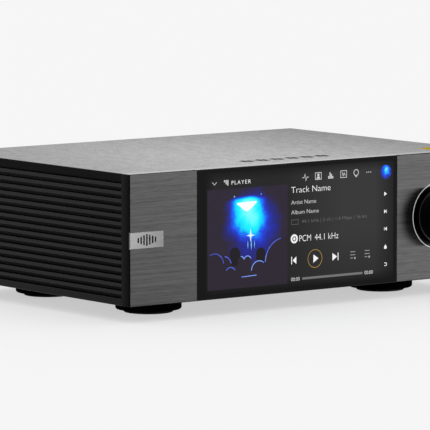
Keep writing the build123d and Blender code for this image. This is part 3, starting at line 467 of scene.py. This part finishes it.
def stroke(bm, points, width, y):
    """Adds a line of even width through points, mitred at its corners."""
    sharpest = 0.4
    spots = [Vector(point) for point in points]
    pairs = []
    for i, spot in enumerate(spots):
        before = (spot - spots[i - 1]).normalized() if i else (spots[1] - spot).normalized()
        after = (spots[i + 1] - spot).normalized() if i + 1 < len(spots) else before
        along = (before + after).normalized()
        reach = width / 2 / max(along.dot(before), sharpest)
        across = Vector((-along.y, along.x)) * reach
        pairs.append([bm.verts.new(on_front(*(spot + side * across), y)) for side in (-1, 1)])
    for (low, high), (next_low, next_high) in zip(pairs, pairs[1:]):
        bm.faces.new((low, next_low, next_high, high))


def words(bm, text, left, base, width, cap, y, thin=0.012, space=1.0):
    """Adds lettering whose capitals are cap high and whose line is width long. Its strokes are drawn in
    by thin, and its letters are spread by space."""
    curve = bpy.data.curves.new("lettering", "FONT")
    curve.body = text
    curve.offset = -thin
    curve.space_character = space
    holder = bpy.data.objects.new("lettering", curve)
    link_in(holder)
    bpy.context.view_layer.update()
    shape = bpy.data.meshes.new_from_object(holder)
    curve.body = "H"
    bpy.context.view_layer.update()
    capital = bpy.data.meshes.new_from_object(holder)
    rise = max(v.co.y for v in capital.vertices)
    start = min(v.co.x for v in shape.vertices)
    length = max(v.co.x for v in shape.vertices) - start
    placed = [bm.verts.new(on_front(left + (v.co.x - start) / length * width, base + v.co.y / rise * cap, y))
              for v in shape.vertices]
    for face in shape.polygons:
        bm.faces.new([placed[i] for i in face.vertices])
    bpy.data.objects.remove(holder)
    bpy.data.curves.remove(curve)


# ------------------------------------------------------------------ what the display shows
# Its layers lie on the glass, each a hair in front of the one behind, with the glass's own gloss.
layer = mm(0.03)
back_y, art_y, shade_y, rim_y, ink_y = (glass_y - layer * (i + 1) for i in range(5))

# Places on the display, in panel millimetres
lit_x = 55.0, 200.6
lit_z = 2.6, 75.6
art_x = 57.1, 117.8
art_z = 5.5, 65.55
lamp_x, lamp_z = 87.3, 57.2
star_x, star_z = 89.7, 36.6


def lit_finish(name):
    """A lit layer: black and glossy like the glass, and ready for its light to be linked."""
    made, tree, bsdf = blank(name)
    bsdf.inputs["Base Color"].default_value = (0.002, 0.002, 0.002, 1)
    bsdf.inputs["Roughness"].default_value = 0.045
    bsdf.inputs["Specular IOR Level"].default_value = 0.1
    bsdf.inputs["Emission Strength"].default_value = 1.0
    return made, tree, bsdf.inputs["Emission Color"]


def glow(name, colour, strength=1.0, uneven=0.06):
    """One lit colour, with the slight unevenness of a backlight."""
    made, tree, light = lit_finish(name)
    slow = place_noise(tree, (60, 60, 60), detail=2.0)
    high = [channel * strength for channel in colour]
    low = [channel * (1 - uneven) for channel in high]
    tree.links.new(between(tree, slow, low, high), light)
    return made


def backlight_finish():
    """The black level: it fades out at the display's edges and is highest right of the middle."""
    made, tree, light = lit_finish("screen_backlight")
    lift = calc(tree, "MULTIPLY", across_case(tree, 0, 1, 116, 160), up_case(tree, 0.25, 1, 0, 36))
    tone = between(tree, lift, (0.0125, 0.0125, 0.013), (0.0315, 0.0315, 0.032))
    sideways = calc(tree, "MULTIPLY", across_case(tree, 0, 1, lit_x[0], lit_x[0] + 8),
                    across_case(tree, 1, 0, 186, 206))
    upwards = calc(tree, "MULTIPLY", up_case(tree, 0, 1, lit_z[0], 9),
                   up_case(tree, 1, 0.2, 70, lit_z[1]))
    tree.links.new(between(tree, calc(tree, "MULTIPLY", sideways, upwards), black, tone), light)
    return made


def panel_offset(tree, axis, middle, size):
    """How far a point lies from a middle along X or Z, in panel millimetres, divided by a size."""
    origin = case_left if axis == "X" else case_under
    offset = calc(tree, "SUBTRACT", object_place(tree)[axis], origin + mm(middle))
    return calc(tree, "DIVIDE", offset, mm(size))


def reach_of(tree, warp, *offsets):
    """The length of a few offsets taken together, made uneven by a warp."""
    squares = total_of(tree, *[(offset, offset) for offset in offsets])
    return calc(tree, "ADD", calc(tree, "SQRT", squares), warp)


def art_finish():
    """Light pours down from the lamp in a leaning cone, cyan inside and blue round it."""
    made, tree, light = lit_finish("screen_picture")
    haze = place_noise(tree, (110, 110, 110))
    warp = spread_of(tree, haze, -0.2, 0.2)

    # The cone, in millimetres: it leans and widens as it goes down, and reaches furthest that way.
    cone_width, cone_widening = 8.8, 0.12
    cone_x, cone_lean = lamp_x - 0.4, 0.20
    full_depth, fade_depth, fade_rise = 7.0, 11.5, 2.2
    x = panel_offset(tree, "X", 0, 1)
    rise = panel_offset(tree, "Z", lamp_z, 1)
    above = calc(tree, "MAXIMUM", rise, 0)
    below = calc(tree, "MAXIMUM", calc(tree, "MULTIPLY", rise, -1), 0)
    width = calc(tree, "MULTIPLY_ADD", below, cone_widening, cone_width)
    middle = calc(tree, "MULTIPLY_ADD", below, cone_lean, cone_x)
    across = calc(tree, "DIVIDE", calc(tree, "SUBTRACT", x, middle), width)
    past = calc(tree, "MAXIMUM", calc(tree, "SUBTRACT", below, full_depth), 0)
    cone = reach_of(tree, warp, across, calc(tree, "DIVIDE", past, fade_depth),
                    calc(tree, "DIVIDE", above, fade_rise))
    shade = calc(tree, "DIVIDE", cone, 2)
    colours = ramp(tree, shade, [(0.0, (0.26, 0.98, 1.0)), (0.24, (0.10, 0.96, 1.0)),
                                 (0.36, (0.01, 0.90, 1.0)), (0.48, (0.0, 0.70, 1.0)),
                                 (0.58, (0.004, 0.22, 1.0)), (0.68, (0.012, 0.070, 0.86)),
                                 (0.82, (0.015, 0.030, 0.45)), (1.0, (0.018, 0.018, 0.14))])

    # Round it lies a blue mist, and then the night.
    mist_x, mist_z, mist_size = 92.0, 42.0, 21.0
    far = reach_of(tree, warp, panel_offset(tree, "X", mist_x, mist_size),
                   panel_offset(tree, "Z", mist_z, mist_size))
    night = between(tree, haze, (0.020, 0.014, 0.026), (0.027, 0.018, 0.038))
    mist = between(tree, spread_of(tree, far, 1, 0, start=0.45, end=1.15), night, (0.010, 0.020, 0.36))
    inside = spread_of(tree, shade, 1, 0, start=0.62, end=0.98)
    tree.links.new(between(tree, inside, mist, colours), light)
    return made


def build_lamp(bm):
    """The brightest part: a wide shallow bowl of light."""
    left, width, rim_z, depth = lamp_x - 8.0, 15.1, 55.9, 4.6
    rim = [(lamp_x + 7.1, 56.3), (lamp_x + 6.9, 57.0), (lamp_x - 7.7, 56.7), (left, rim_z)]
    bowl = [(left + width * t, rim_z - depth * sin(pi * t) ** 1.6) for t in (0.15, 0.3, 0.45, 0.6, 0.75, 0.9)]
    outline(bm, rim + bowl, shade_y)


def build_star(bm):
    """Four points, the upright ones longer, with a waist between them."""
    point, waist, stretch = 3.2, 0.9, 1.3
    corners = []
    for i in range(8):
        across, up = (point, point * stretch) if i % 2 == 0 else (waist, waist)
        corners.append((star_x + across * cos(i * pi / 4), star_z + up * sin(i * pi / 4)))
    outline(bm, corners, shade_y)


def build_streaks(bm):
    """Thin shafts of light under the glow, and two sparks above it."""
    for x, low, high, width in ((87.6, 28.4, 34.0, 0.7), (90.2, 27.5, 34.5, 0.9), (92.6, 28.4, 34.0, 0.6)):
        diamond(bm, x, (low + high) / 2, width / 2, (high - low) / 2, shade_y)
    disc(bm, 77.4, 60.6, 0.5, 12, shade_y)
    disc(bm, 97.7, 60.9, 0.4, 12, shade_y)


# Round-topped hills: the middle, radius and top of each, and the stretch of its crest that catches
# light, in degrees from its right end
plain_top = 16.0
hills = [
    (62.2, 7.2, 27.3, 8, 118),
    (69.4, 5.6, 25.2, 12, 82),
    (74.4, 3.9, 18.4, 30, 145),
    (82.3, 2.4, 24.4, 10, 90),
    (87.3, 2.9, 24.4, 25, 150),
    (96.0, 5.7, 20.9, 50, 178),
    (115.2, 14.4, 33.6, 100, 178),
]
dark_hills = [(77.8, 4.0, 30.2), (97.4, 3.5, 28.8)]
dark_foot = 19.0


def hill_point(middle, radius, top, angle):
    """A point of a hill's round top, at an angle in degrees from its right end."""
    return middle + radius * cos(radians(angle)), top - radius + radius * sin(radians(angle))


def skyline(x):
    """The height of the highest hill at x."""
    heights = [plain_top]
    for middle, radius, top, *_ in hills:
        if abs(x - middle) < radius:
            heights.append(top - radius + (radius ** 2 - (x - middle) ** 2) ** 0.5)
    return max(heights)


def build_hills(bm):
    """One closed silhouette under the skyline, in narrow upright strips."""
    steps = 150
    ground = art_z[0]
    xs = [art_x[0] + (art_x[1] - art_x[0]) * i / steps for i in range(steps + 1)]
    for x0, x1 in zip(xs, xs[1:]):
        outline(bm, [(x0, ground), (x1, ground), (x1, skyline(x1)), (x0, skyline(x0))], shade_y - layer / 2)


def build_dark_hills(bm):
    """Two dark tops that stand in front of the glow."""
    for middle, radius, top in dark_hills:
        crest = [hill_point(middle, radius, top, angle) for angle in range(0, 181, 10)]
        foot = [(middle - radius, dark_foot), (middle + radius, dark_foot)]
        outline(bm, crest + foot, shade_y - layer / 4)


def build_rims(bm):
    """The lit stretches of the crests, and a line of light on the plain."""
    steps = 16
    for middle, radius, top, start, end in hills:
        angles = [start + (end - start) * i / steps for i in range(steps + 1)]
        stroke(bm, [hill_point(middle, radius, top, angle) for angle in angles], 0.55, rim_y)
    stroke(bm, [(82.6, 12.0), (94.2, 12.4)], 0.45, rim_y)


def rim_light_finish():
    """Blue light on the crests, palest below the star and dim at the picture's sides."""
    made, tree, light = lit_finish("screen_hill_rims")
    far = calc(tree, "ABSOLUTE", calc(tree, "SUBTRACT", object_place(tree)["X"], case_left + mm(star_x)))
    patchy = spread_of(tree, place_noise(tree, (500, 500, 500), detail=2.0), mm(-7), mm(7))
    near = spread_of(tree, calc(tree, "ADD", far, patchy), 0, 1, start=mm(4), end=mm(30))
    tree.links.new(ramp(tree, near, [(0.0, (0.22, 0.38, 1.0)), (0.4, (0.09, 0.15, 0.85)),
                                     (1.0, (0.055, 0.065, 0.42))]), light)
    return made


# Words and symbols, in panel millimetres: the texts' left edge and the heights of their capitals, the
# format's line and the times' line, the row of symbols along the top, the row of player buttons, and
# the left edge of the symbols down the right side
text_x = 120.6
track_cap, name_cap, format_cap, time_cap, note_cap = 3.65, 2.4, 3.7, 2.1, 1.9
format_base, time_base = 30.3, 6.7
dial_x, dial_z = 123.0, 32.25
status_low, status_high = 66.9, 71.4
button_z, button_rise = 19.2, 2.3
button_low, button_high = button_z - button_rise, button_z + button_rise
side_x = 193.2


def build_bright(bm):
    """The title, the track's name, the format and the buttons."""
    words(bm, "PLAYER", 75.2, 67.9, 14.6, 2.3, ink_y, thin=0.004, space=1.25)
    words(bm, "Track Name", text_x, 60.0, 30.4, track_cap, ink_y)
    words(bm, "PCM", 126.9, format_base, 9.0, format_cap, ink_y)
    words(bm, "44.1 kHz", 138.8, format_base, 18.5, format_cap, ink_y)
    ring(bm, dial_x, dial_z, 1.55, 2.75, ink_y, 32)
    diamond(bm, dial_x, dial_z, 1.1, 1.25, ink_y)
    # previous, play and next
    bar(bm, 120.7, 121.3, button_low, button_high, ink_y)
    arrow(bm, 124.6, 121.8, button_z, button_rise, ink_y)
    arrow(bm, 137.8, 141.7, button_z, 2.5, ink_y)
    arrow(bm, 152.6, 156.2, button_z, button_rise, ink_y)
    bar(bm, 156.7, 157.3, button_low, button_high, ink_y)
    # down the right side: play, next, previous, home, back
    arrow(bm, side_x, side_x + 2.2, 55.1, 1.3, ink_y)
    arrow(bm, side_x, side_x + 1.8, 44.3, 1.2, ink_y)
    bar(bm, side_x + 1.8, side_x + 2.1, 43.2, 45.4, ink_y)
    arrow(bm, side_x + 2.2, side_x + 0.4, 33.6, 1.2, ink_y)
    bar(bm, side_x, side_x + 0.3, 32.5, 34.7, ink_y)
    outline(bm, [(193.3, 21.3), (195.3, 21.3), (195.3, 22.6), (194.3, 24.0), (193.3, 22.6)], ink_y)
    stroke(bm, [(193.4, 12.6), (194.9, 12.6), (195.4, 11.8), (194.9, 10.9), (193.5, 10.9)], 0.42, ink_y)


def build_plain(bm):
    """The names under the track's, the times and the symbols along the top."""
    words(bm, "Artist Name", text_x, 53.1, 19.2, name_cap, ink_y, thin=0.006)
    words(bm, "Album Name", text_x, 47.1, 21.3, name_cap, ink_y, thin=0.006)
    for left in (text_x, 177.8):
        words(bm, "00:00", left, time_base, 6.6, time_cap, ink_y, thin=0.0)
    # a chevron and a small mark at the top left
    stroke(bm, [(60.8, 70.0), (62.4, 68.4), (64.0, 70.0)], 0.36, ink_y)
    for i, low in enumerate((69.6, 68.4, 67.6)):
        left = 69.5 + i * 1.25
        bar(bm, left, left + 0.85, low, 70.9, ink_y)
    # pulse, card, levels, meter, drop and dots along the top
    stroke(bm, [(129.2, 68.8), (130.5, 68.8), (131.2, 70.9), (131.9, 66.9), (132.6, 69.0), (134.0, 69.0)],
           0.42, ink_y)
    frame_lines(bm, 139.0, 144.0, status_low, status_high, 0.4, ink_y)
    disc(bm, 141.5, 69.8, 0.9, 16, ink_y)
    outline(bm, [(140.0, 67.5), (143.0, 67.5), (142.4, 68.8), (140.6, 68.8)], ink_y)
    for i, height in enumerate((1.6, 3.8, 2.8, 1.5)):
        left, foot = 149.1 + i * 1.05, 67.0
        bar(bm, left, left + 0.85, foot, foot + height, ink_y)
    frame_lines(bm, 158.7, 163.7, status_low, status_high, 0.4, ink_y)
    stroke(bm, [(160.0, 70.3), (160.8, 68.1), (161.6, 69.8), (162.5, 68.2)], 0.45, ink_y)
    ring(bm, 171.0, 69.5, 1.55, 2.05, ink_y, 32)
    outline(bm, [(170.1, 67.6), (171.0, 66.5), (171.9, 67.6), (171.0, 67.9)], ink_y)
    for i in range(3):
        disc(bm, 179.4 + i * 1.5, 69.2, 0.36, 12, ink_y)


def build_dim(bm):
    """A small box and the note beside it."""
    frame_lines(bm, 120.8, 126.2, 40.8, 43.9, 0.3, ink_y)
    words(bm, "44.1 kHz | 2 ch | 1.4 Mbps | 16 bit", 128.6, 41.5, 51.0, note_cap, ink_y, thin=0.0)


def build_lists(bm):
    """Two small lists, each three lines over a dot."""
    line, step = 0.4, 1.9
    for left in (166.6, 177.9):
        for i, width in enumerate((3.9, 3.9, 2.1)):
            low = 21.05 - i * step
            bar(bm, left, left + width, low, low + line, ink_y)
        disc(bm, left + 3.6, 17.3, 0.7, 16, ink_y)


def avatar_finish():
    """A small round picture: a cyan light near the top of a blue field that darkens downwards."""
    made, tree, light = lit_finish("screen_avatar")
    haze = spread_of(tree, place_noise(tree, (420, 420, 420), detail=3.0), -0.2, 0.2)
    reach = reach_of(tree, haze, panel_offset(tree, "X", 194.6, 4.2), panel_offset(tree, "Z", 69.8, 5.4))
    tree.links.new(ramp(tree, reach, [(0.0, (0.35, 0.95, 1.0)), (0.28, (0.02, 0.55, 1.0)),
                                      (0.5, (0.01, 0.12, 1.0)), (0.85, (0.02, 0.04, 0.55)),
                                      (1.0, (0.02, 0.03, 0.2))]), light)
    return made


def screen_piece(name, build, material):
    """A piece of what the display shows."""
    piece_from(name, build, material)


screen_piece("screen_backlight", lambda bm: bar(bm, *lit_x, *lit_z, back_y), backlight_finish())
screen_piece("screen_picture", lambda bm: bar(bm, *art_x, *art_z, art_y), art_finish())
for name, build, colour, strength in (
        ("screen_lamp", build_lamp, white, 1.1),
        ("screen_star", build_star, (0.75, 0.95, 1.0), 1.0),
        ("screen_streaks", build_streaks, (0.22, 0.62, 1.0), 0.9),
        ("screen_hills", build_hills, (0.022, 0.015, 0.027), 1.0),
        ("screen_dark_hills", build_dark_hills, (0.010, 0.007, 0.013), 1.0)):
    screen_piece(name, build, glow(name, colour, strength))
screen_piece("screen_hill_rims", build_rims, rim_light_finish())
for name, build, colour, strength in (
        ("screen_words_bright", build_bright, white, 0.95),
        ("screen_words_plain", build_plain, white, 0.62),
        ("screen_words_dim", build_dim, white, 0.125),
        ("screen_lists", build_lists, white, 0.36),
        ("screen_progress", lambda bm: bar(bm, 129.2, 176.2, 7.0, 8.4, ink_y), white, 0.17),
        ("screen_play_ring", lambda bm: ring(bm, 139.05, button_z, 5.25, 5.6, ink_y),
         (0.44, 0.27, 0.06), 1.0)):
    screen_piece(name, build, glow(name, colour, strength))
screen_piece("screen_avatar", lambda bm: disc(bm, 194.4, 68.4, 4.4, 48, ink_y), avatar_finish())

# ------------------------------------------------------------------ print on the back
print_y = rear_y + layer


def build_back_print(bm):
    """Thin outlines round the groups of sockets, all of one height."""
    beside, above, line = 1.6, 2.4, 0.25
    groups = [[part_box(node) for node in nodes] for nodes in
              (("xlr_jacks",), ("rca_shells",), ("optical_jacks",),
               ("usb_jacks", "hdmi_jack", "network_jack", "trigger_jack"))]
    lowest = min(low.z for boxes in groups for low, high in boxes)
    highest = max(high.z for boxes in groups for low, high in boxes)
    z0 = (lowest - case_under) * 1000 - above
    z1 = (highest - case_under) * 1000 + above
    for boxes in groups:
        x0 = (min(low.x for low, high in boxes) - case_left) * 1000 - beside
        x1 = (max(high.x for low, high in boxes) - case_left) * 1000 + beside
        frame_lines(bm, x0, x1, z0, z1, line, print_y)
    bmesh.ops.reverse_faces(bm, faces=bm.faces[:])


piece_from("back_print", build_back_print, surface("back_print", (0.28, 0.28, 0.28), 0.6, uneven=0.1))

# ------------------------------------------------------------------ studio
# The floor glows a little, as a lit cyclorama does, so shadows on it stay pale.
floor_size = 14.0
half = floor_size / 2
floor_mesh = bpy.data.meshes.new("studio_floor")
floor_mesh.from_pydata([(-half, -half, 0), (half, -half, 0), (half, half, 0), (-half, half, 0)], [],
                       [(0, 1, 2, 3)])
floor = bpy.data.objects.new("studio_floor", floor_mesh)
link_in(floor)
floor_finish = surface("studio_floor", (0.42, 0.42, 0.42), 0.9, grain=(40, 40, 40), uneven=0.01,
                       bump=0.0, specular=0.0)
floor_shader = floor_finish.node_tree.nodes["Principled BSDF"]
floor_shader.inputs["Emission Color"].default_value = (*white, 1)
floor_shader.inputs["Emission Strength"].default_value = 0.535
floor_mesh.materials.append(floor_finish)

world = bpy.data.worlds.new("studio_world")
world.use_nodes = True
bpy.context.scene.world = world
backdrop = world.node_tree.nodes["Background"]
backdrop.inputs["Color"].default_value = (*white, 1)
backdrop.inputs["Strength"].default_value = 0.92


def softbox(name, place, aim, width, height, watts, unlit):
    """An area light at a place, turned towards a point, that doesn't reach the unlit objects."""
    data = bpy.data.lights.new(name, "AREA")
    data.shape = "RECTANGLE"
    data.size, data.size_y = width, height
    data.energy = watts
    made = bpy.data.objects.new(name, data)
    made.location = place
    made.rotation_euler = (Vector(aim) - Vector(place)).to_track_quat("-Z", "Y").to_euler()
    made.visible_camera = False
    link_in(made)
    flagged = bpy.data.collections.new(name + "_flagged_off")
    for thing in unlit:
        flagged.objects.link(thing)
    for entry in flagged.collection_objects:
        entry.light_linking.link_state = "EXCLUDE"
    made.light_linking.receiver_collection = flagged


# The key light hangs close above the front half. A far panel light to the front right is what the
# brushed metal mirrors; the knob stands in its way and leaves a dark crescent on the metal. It is kept
# off the screen and the top. Neither reaches the floor.
screen = [thing for thing in bpy.data.objects if thing.name.startswith("screen_")]
softbox("key_light", place=(-0.06, -0.07, 0.31), aim=(-0.05, -0.03, 0.08), width=0.45, height=0.45,
        watts=3.0, unlit=[floor])
softbox("panel_light", place=(2.30, -2.10, 0.05), aim=(0.0, -0.09, 0.05), width=2.3, height=0.09,
        watts=52, unlit=[floor, frame["nodes"]["top_cover"], *screen])
